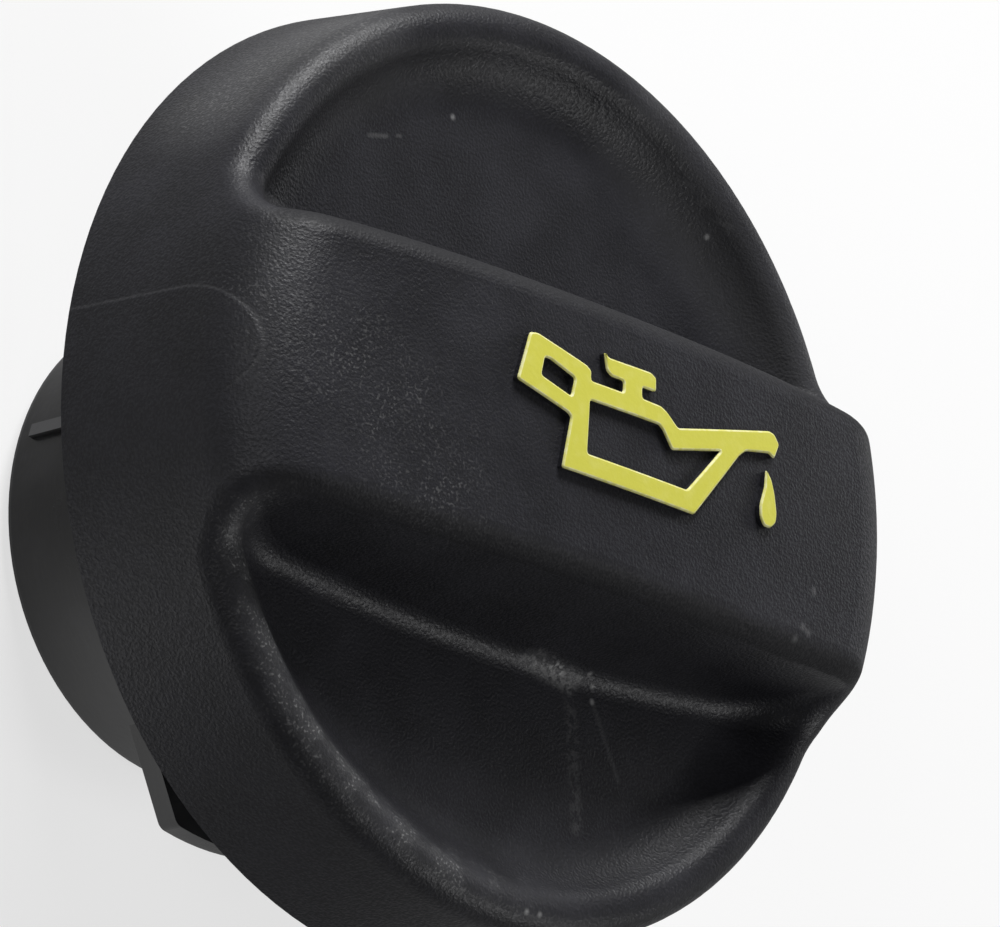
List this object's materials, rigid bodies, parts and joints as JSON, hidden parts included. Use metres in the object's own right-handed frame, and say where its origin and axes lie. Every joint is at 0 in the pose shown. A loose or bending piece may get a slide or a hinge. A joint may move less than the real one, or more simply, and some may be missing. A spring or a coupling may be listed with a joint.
{
  "type": "oil filler cap",
  "caption": "Black plastic engine oil filler cap with a wide grip bar between finger recesses, a bayonet plug and a rubber sealing ring.",
  "frame": {"origin": "centre of the plug's open end, which is the lowest point as the cap stands", "axes": "+Z along the cap's axis from the plug to the grip, X along the grip bar"},
  "size_m": [0.062, 0.062, 0.0402],
  "materials": {
    "head_plastic": "fine spark-eroded grain",
    "plug_plastic": "satin",
    "seal_rubber": "matte",
    "sign_print": "printed"
  },
  "bodies": {
    "root": {"grip_head": "head_plastic", "bayonet_plug": "plug_plastic", "sealing_ring": "seal_rubber"}
  },
  "joints": []
}
